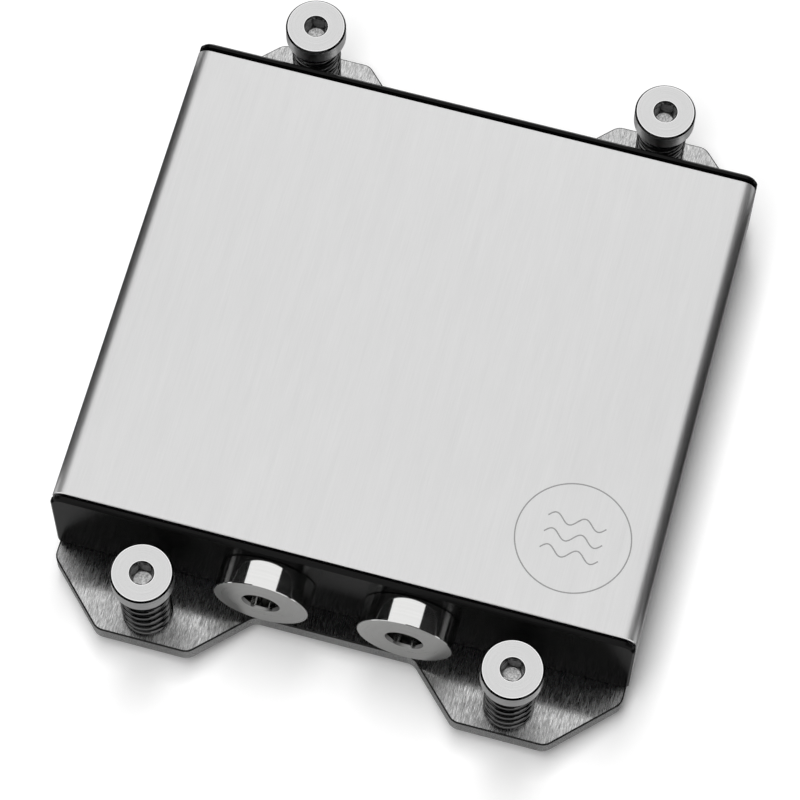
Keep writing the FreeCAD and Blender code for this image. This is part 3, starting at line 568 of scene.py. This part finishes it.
def turned_piece(name, profile, place, materials, around=96):
    """Rings of points at angle a and radius r(a): (r cos a, r sin a, height), closed by two poles.

    The profile lists (outline, height in mm, index of the material up to the next ring). Its first
    and last outlines are None, for a point on the axis. place turns local mm to the frame's metres.
    """
    rings = profile[1:-1]
    angle = np.arange(around) * (2 * math.pi / around)
    radii = np.array([outline(angle, height) for outline, height, _ in rings])
    heights = np.array([height for _, height, _ in rings])
    local = np.stack([radii * np.cos(angle), radii * np.sin(angle),
                      np.broadcast_to(heights[:, None], radii.shape)], axis=-1).reshape(-1, 3)
    poles = np.array([[0, 0, profile[0][1]], [0, 0, profile[-1][1]]], float)
    points = np.vstack([local, poles])
    points = points @ np.array(place.to_3x3()).T * MM + np.array(place.translation) * MM

    count = len(rings)
    quads = grid_faces(count, around, closed_columns=True)
    column = np.arange(around)
    after = (column + 1) % around
    first_fan = np.column_stack([np.full(around, count * around), column, after])
    last = (count - 1) * around
    last_fan = np.column_stack([np.full(around, count * around + 1), last + after, last + column])
    piece = mesh_piece(name, points, quads + first_fan.tolist() + last_fan.tolist(), materials[0])

    mean_radius = np.concatenate([[0], radii.mean(axis=1), [0]])
    all_heights = np.array([height for _, height, _ in profile])
    steps = np.hypot(np.diff(mean_radius), np.diff(all_heights))
    way = np.concatenate([[0], np.cumsum(steps)]) * MM
    i, j = np.divmod(np.arange((count - 1) * around), around)
    share, next_share = j / around, (j + 1) / around
    quad_map = np.stack([way[i + 1], share, way[i + 2], share, way[i + 2], next_share,
                         way[i + 1], next_share], axis=-1)
    share, next_share = column / around, (column + 1) / around
    start, first_ring, last_ring, end = (np.full(around, way[k]) for k in (0, 1, -2, -1))
    first_map = np.stack([start, share, first_ring, share, first_ring, next_share], axis=-1)
    last_map = np.stack([end, share, last_ring, next_share, last_ring, share], axis=-1)
    corner_map = np.concatenate([quad_map.ravel(), first_map.ravel(), last_map.ravel()])
    piece.data.uv_layers.new(name="profile").data.foreach_set("uv", corner_map.astype(np.float32))

    for material in materials[1:]:
        piece.data.materials.append(material)
    which = np.array([index for _, _, index in profile[:-1]])
    quad_which = np.repeat(which[1:-1], around)
    face_which = np.concatenate([quad_which, np.full(around, which[0]), np.full(around, which[-1])])
    piece.data.polygons.foreach_set("material_index", face_which.astype(np.int32))
    piece.data.shade_smooth()
    piece.data.set_sharp_from_angle(angle=SHARP_ANGLE)
    return piece


# %% [markdown]
# ## Port plugs
#
# Each plug closes one coolant port. Its collar is polished and plated to a mirror, its face is
# left satin by the facing tool, and its hexagon takes a 5 mm key. The thread behind the collar is
# cut as a spiral, and a groove under the collar holds the sealing ring.

# %% Port plugs
def centre_of(node):
    """The middle of a CAD node's box, in millimetres."""
    lowest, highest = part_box(node)
    return (lowest + highest) / 2 / MM


# Sizes in mm; the depths are from the plug's face inwards.
PLUG_KEY, PLUG_KEY_DEPTH = 5.0, 5.45
PLUG_DRILL_RADIUS, PLUG_DRILL_DEPTH, PLUG_CONE_DEPTH = 2.4, 5.5, 6.4
SINK_DEPTH, SINK_RADIUS, SINK_LIP, SINK_LIP_DEPTH = 0.40, 2.95, 0.07, 0.06
FACE_RING_RADIUS = 4.9
FRONT_BREAK, BACK_BREAK = 0.08, 0.15
SEAL_GAP = 0.15
PORT_THREAD_RADIUS, PORT_THREAD_DEPTH, PORT_PITCH = 4.85, 0.5, 0.907
PORT_THREAD_START, PORT_THREAD_STOP, PORT_END_DEPTH = -0.4, 0.5, 0.6

block_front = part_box("manifold_body")[0].y / MM
face_out = Matrix(((1, 0, 0, 0), (0, 0, -1, 0), (0, 1, 0, 0), (0, 0, 0, 1)))
# The countersink's finish is nickel with painted shade.
COLLAR, FACE, COUNTERSINK = range(3)
for side in SIDES:
    low_corner, high_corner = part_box(f"port_plug_{side}")
    collar = (high_corner.x - low_corner.x) / 2 / MM
    reach = block_front - low_corner.y / MM
    inner_end = block_front - high_corner.y / MM
    middle = centre_of(f"port_plug_{side}")
    seal_low, seal_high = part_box(f"plug_seal_{side}")
    seal = (seal_high - seal_low) / MM
    groove_depth, groove_radius = seal.y, seal.x / 2 + SEAL_GAP
    root = PORT_THREAD_RADIUS - PORT_THREAD_DEPTH
    thread_outline = thread(PORT_THREAD_RADIUS, PORT_THREAD_DEPTH, PORT_PITCH)
    thread_heights = np.arange(PORT_THREAD_START, inner_end + PORT_THREAD_STOP,
                               -PORT_PITCH / RINGS_PER_PITCH)
    profile = [
        (None, reach - PLUG_CONE_DEPTH, FACE),
        (circle(PLUG_DRILL_RADIUS), reach - PLUG_DRILL_DEPTH, FACE),
        (hexagon(PLUG_KEY), reach - PLUG_KEY_DEPTH, COLLAR),
        (hexagon(PLUG_KEY), reach - SINK_DEPTH, COUNTERSINK),
        (circle(SINK_RADIUS - SINK_LIP), reach - SINK_LIP_DEPTH, COUNTERSINK),
        (circle(SINK_RADIUS), reach, FACE),
        (circle(FACE_RING_RADIUS), reach, FACE),
        (circle(collar - FRONT_BREAK), reach, COLLAR),
        (circle(collar), reach - FRONT_BREAK, COLLAR),
        (circle(collar), BACK_BREAK, COLLAR),
        (circle(collar - BACK_BREAK), 0.0, COLLAR),
        (circle(groove_radius), 0.0, COLLAR),
        (circle(groove_radius), groove_depth, COLLAR),
        (circle(root), groove_depth, COLLAR),
        (circle(root), 0.0, COLLAR),
    ]
    profile += [(thread_outline, height, COLLAR) for height in thread_heights]
    profile += [(circle(PORT_THREAD_RADIUS - PORT_END_DEPTH), inner_end, COLLAR),
                (None, inner_end, COLLAR)]
    place = Matrix.Translation((middle.x, block_front, middle.z)) @ face_out
    plug = turned_piece(f"turned_plug_{side}", profile, place,
                        [bright_nickel, satin_nickel, countersink_painted_shade])
    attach(plug, "block")
    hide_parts(f"port_plug_{side}")
    print(plug.name, "collar", round(collar * 2, 2), "mm across,", len(plug.data.polygons), "faces")

# %% [markdown]
# ## Captive screws
#
# The heads are turned and faced bright. The bevel round the edge and the chamfer at the socket's
# mouth are painted near black, a painted reflection of dark surroundings, and thin rings inside the
# bevel and round the socket's rim are painted highlights. The hexagon was broached into a drilled
# hole, so it ends in the drill's cone, which is a painted highlight; the hexagon's walls carry
# painted shade. Only the tip, below the retaining clip, carries the thread.

# %% Captive screws
# Sizes in mm; the depths are from the head's top face down.
HEAD_HEIGHT, HEAD_BEVEL, HEAD_UNDER_BREAK = 3.1, 0.27, 0.12
# The painted highlight ring on the top face starts this far in from the head's edge.
HIGHLIGHT_RING_REACH = 0.38
SCREW_KEY, SCREW_KEY_DEPTH, SCREW_SINK_DEPTH = 3.0, 3.20, 0.62
SCREW_DRILL_RADIUS, SCREW_DRILL_DEPTH, SCREW_CONE_DEPTH = 1.42, 3.23, 3.75
MOUTH_RADIUS, MOUTH_DEPTH = 1.80, 0.50
MOUTH_EDGE_RADIUS, MOUTH_EDGE_DEPTH = 1.82, 0.05
MOUTH_RIM_RADIUS, MOUTH_RING_RADIUS = 1.88, 1.98
SHANK, SHANK_FILLET = 2.0, 0.15
GROOVE_CUT, CLIP_SLACK = 0.35, 0.05
SCREW_THREAD_DEPTH, SCREW_PITCH = 0.38, 0.7
SCREW_THREAD_START, SCREW_THREAD_STOP, SCREW_END_DEPTH = 0.15, 0.45, 0.42

# Bevels: painted dark reflection; socket: painted shade; cone and edge rings: painted highlights.
TOP, SIDE, BEVEL, SOCKET, CONE, EDGE = range(6)
screw_finishes = [head_face, head_side, bevel_painted_dark, socket_painted_shade, cone_painted_highlight, ring_painted_highlight]
plate_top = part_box("mounting_plate")[1].z / MM
for corner in CORNERS:
    screw_low, screw_high = (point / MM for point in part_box(f"captive_screw_{corner}"))
    clip_low, clip_high = (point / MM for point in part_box(f"retaining_clip_{corner}"))
    top, tip = screw_high.z, screw_low.z
    head_radius = (screw_high.x - screw_low.x) / 2
    head_under = top - HEAD_HEIGHT
    groove = SHANK - GROOVE_CUT
    thread_outline = thread(SHANK, SCREW_THREAD_DEPTH, SCREW_PITCH)
    thread_heights = np.arange(clip_low.z - SCREW_THREAD_START, tip + SCREW_THREAD_STOP,
                               -SCREW_PITCH / RINGS_PER_PITCH)
    profile = [
        (None, top - SCREW_CONE_DEPTH, CONE),
        (circle(SCREW_DRILL_RADIUS), top - SCREW_DRILL_DEPTH, SOCKET),
        (hexagon(SCREW_KEY), top - SCREW_KEY_DEPTH, SOCKET),
        (hexagon(SCREW_KEY), top - SCREW_SINK_DEPTH, SOCKET),
        (circle(MOUTH_RADIUS), top - MOUTH_DEPTH, SOCKET),
        (circle(MOUTH_EDGE_RADIUS), top - MOUTH_EDGE_DEPTH, BEVEL),
        (circle(MOUTH_RIM_RADIUS), top, EDGE),
        (circle(MOUTH_RING_RADIUS), top, TOP),
        (circle(head_radius - HIGHLIGHT_RING_REACH), top, EDGE),
        (circle(head_radius - HEAD_BEVEL), top, BEVEL),
        (circle(head_radius), top - HEAD_BEVEL, SIDE),
        (circle(head_radius), head_under + HEAD_UNDER_BREAK, SIDE),
        (circle(head_radius - HEAD_UNDER_BREAK), head_under, SIDE),
        (circle(SHANK + SHANK_FILLET), head_under, SIDE),
        (circle(SHANK), head_under - SHANK_FILLET, SIDE),
        (circle(SHANK), clip_high.z + CLIP_SLACK, SIDE),
        (circle(groove), clip_high.z + CLIP_SLACK, SIDE),
        (circle(groove), clip_low.z - CLIP_SLACK, SIDE),
    ]
    profile += [(thread_outline, height, SIDE) for height in thread_heights]
    profile += [(circle(SHANK - SCREW_END_DEPTH), tip, SIDE), (None, tip, SIDE)]
    middle = centre_of(f"captive_screw_{corner}")
    place = Matrix.Translation((middle.x, middle.y, 0))
    screw = turned_piece(f"turned_screw_{corner}", profile, place, screw_finishes)
    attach(screw, f"{corner}_screw")
    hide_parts(f"captive_screw_{corner}")
print("screw heads", round(head_radius * 2, 2), "mm across, thread rings", len(thread_heights))

# %% [markdown]
# ## Springs
#
# A compression spring is a round wire wound on a mandrel, with its end turns closed so that it
# stands flat. A curve with a bevel would do; here it is a mesh at its rest length. The real spring
# shortens as its screw is pressed, but only the travel is printed. Its surface is computed: a
# circle of wire carried along a helix whose pitch is one wire in the end turns and wide between
# them.

# %% Springs
WIRE = 0.9
END_TURNS, OPEN_TURNS, EASE_TURNS = 1.0, 5.0, 0.5
ALL_TURNS = 2 * END_TURNS + OPEN_TURNS
STEPS_PER_TURN, WIRE_SIDES = 56, 14
WIRE_SHARP_ANGLE = math.radians(50)
START_ANGLES = {"front_left": 39, "front_right": 349, "back_left": 20, "back_right": 200}
PRESS_TRAVEL = {joint["name"]: abs(min(joint["range_m"])) / MM
                for joint in frame["joints"] if joint["type"] == "slide"}


def spring_surface(radius, length, start_angle):
    """The wire's centre is (R cos a, R sin a, z(a)); the wire's circle stands on its direction.

    z rises by one wire in each end turn and evenly in the open turns, eased by half a turn where
    the two meet. Sideways is the direction to the axis, and up is at right angles to both.
    """
    turns = np.linspace(0, ALL_TURNS, int(ALL_TURNS * STEPS_PER_TURN) + 1)
    from_end = np.minimum(turns, turns[-1] - turns)
    ease = np.clip((from_end - END_TURNS + EASE_TURNS / 2) / EASE_TURNS, 0, 1)
    open_share = ease * ease * (3 - 2 * ease)
    rises = (open_share[1:] + open_share[:-1]) / 2 * np.diff(turns)
    climb = np.concatenate([[0], np.cumsum(rises)])
    open_rise = (length - WIRE) - WIRE * turns[-1]
    height = WIRE / 2 + WIRE * turns + open_rise * climb / climb[-1]
    angle = np.radians(start_angle) + 2 * math.pi * turns
    level = np.zeros_like(angle)
    outward = np.stack([np.cos(angle), np.sin(angle), level], axis=-1)
    centre = outward * radius + np.stack([level, level, height], axis=-1)
    along = np.gradient(centre, axis=0)
    along /= np.linalg.norm(along, axis=1, keepdims=True)
    upward = np.cross(outward, along)
    around = (np.arange(WIRE_SIDES) * (2 * math.pi / WIRE_SIDES))[None, :, None]
    circles = np.cos(around) * outward[:, None, :] + np.sin(around) * upward[:, None, :]
    return centre[:, None, :] + WIRE / 2 * circles


for corner in CORNERS:
    spring_low, spring_high = (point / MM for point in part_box(f"screw_spring_{corner}"))
    middle = centre_of(f"screw_spring_{corner}")
    radius = (spring_high.x - spring_low.x) / 2 - WIRE / 2
    length = spring_high.z - spring_low.z
    surface = spring_surface(radius, length, START_ANGLES[corner])
    last = (len(surface) - 1) * WIRE_SIDES
    points = (surface.reshape(-1, 3) + np.array([middle.x, middle.y, plate_top])) * MM
    caps = [list(range(WIRE_SIDES)), [last + k for k in reversed(range(WIRE_SIDES))]]
    faces = grid_faces(len(surface), WIRE_SIDES, closed_columns=True) + caps
    spring = mesh_piece(f"wound_spring_{corner}", points, faces, spring_wire)
    spring.data.shade_smooth()
    spring.data.set_sharp_from_angle(angle=WIRE_SHARP_ANGLE)
    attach(spring, "block")
    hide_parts(f"screw_spring_{corner}")
    travel = PRESS_TRAVEL[f"{corner}_press"]
    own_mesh(spring)
print("springs", round(length, 2), "mm long, pressed by", travel, "mm")

# %% [markdown]
# ## Mark on the cover
#
# A laser has drawn a thin ring with three waves on the cover, the sign for a liquid. The mark is
# a dark film of oxide, half sunk in the steel and four thousandths of a millimetre proud of it,
# so it is a set of very flat ribbons.

# %% Laser mark
MARK_CENTRE = (31.5, -25.2)
MARK_RADIUS = 8.59
LINE_WIDTH = 0.20
FILM = 0.008


def ribbon(name, line, closed, material):
    """A flat band along a line of points, each moved half a width to both sides, up and down."""
    if closed:
        forward = np.roll(line, -1, axis=0) - np.roll(line, 1, axis=0)
    else:
        forward = np.gradient(line, axis=0)
    forward = forward / np.linalg.norm(forward, axis=1, keepdims=True)
    sideways = np.column_stack([-forward[:, 1], forward[:, 0]]) * LINE_WIDTH / 2
    upper = np.full((len(line), 1), cover_top + FILM / 2)
    lower = upper - FILM
    section = [np.hstack([line + sideways, lower]), np.hstack([line + sideways, upper]),
               np.hstack([line - sideways, upper]), np.hstack([line - sideways, lower])]
    points = np.stack(section, axis=1).reshape(-1, 3) * MM
    quads = grid_faces(len(line), 4, closed_rows=closed, closed_columns=True)
    faces = [quad[::-1] for quad in quads]
    if not closed:
        last = (len(line) - 1) * 4
        faces += [[3, 2, 1, 0], [last, last + 1, last + 2, last + 3]]
    return mesh_piece(name, points, faces, material)


RING_POINTS, WAVE_POINTS = 180, 97
oxide_film = plain_finish("laser_oxide_film", "#989898", "#a6a6a6", 0.2 * MM, 0.4, metallic=1.0)
cover_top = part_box("top_cover")[1].z / MM
angle = np.linspace(0, 2 * math.pi, RING_POINTS + 1)[:-1]
ring_line = np.column_stack([np.cos(angle), np.sin(angle)]) * MARK_RADIUS + MARK_CENTRE
marks = [ribbon("mark_ring", ring_line, True, oxide_film)]
WAVE_HALF_LENGTH, WAVE_HEIGHT, WAVE_LENGTH, WAVE_SPACING = 4.4, 0.75, 4.4, 2.6
along_wave = np.linspace(-WAVE_HALF_LENGTH, WAVE_HALF_LENGTH, WAVE_POINTS)
for row in (-1, 0, 1):
    wave = WAVE_HEIGHT * np.sin(2 * math.pi * along_wave / WAVE_LENGTH) + row * WAVE_SPACING
    wave_line = np.column_stack([along_wave, wave]) + MARK_CENTRE
    marks.append(ribbon(f"mark_wave_{row + 2}", wave_line, False, oxide_film))
for mark in marks:
    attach(mark, "block")
print("mark ring", MARK_RADIUS * 2, "mm across on a cover", round(cover_top, 2), "mm high")
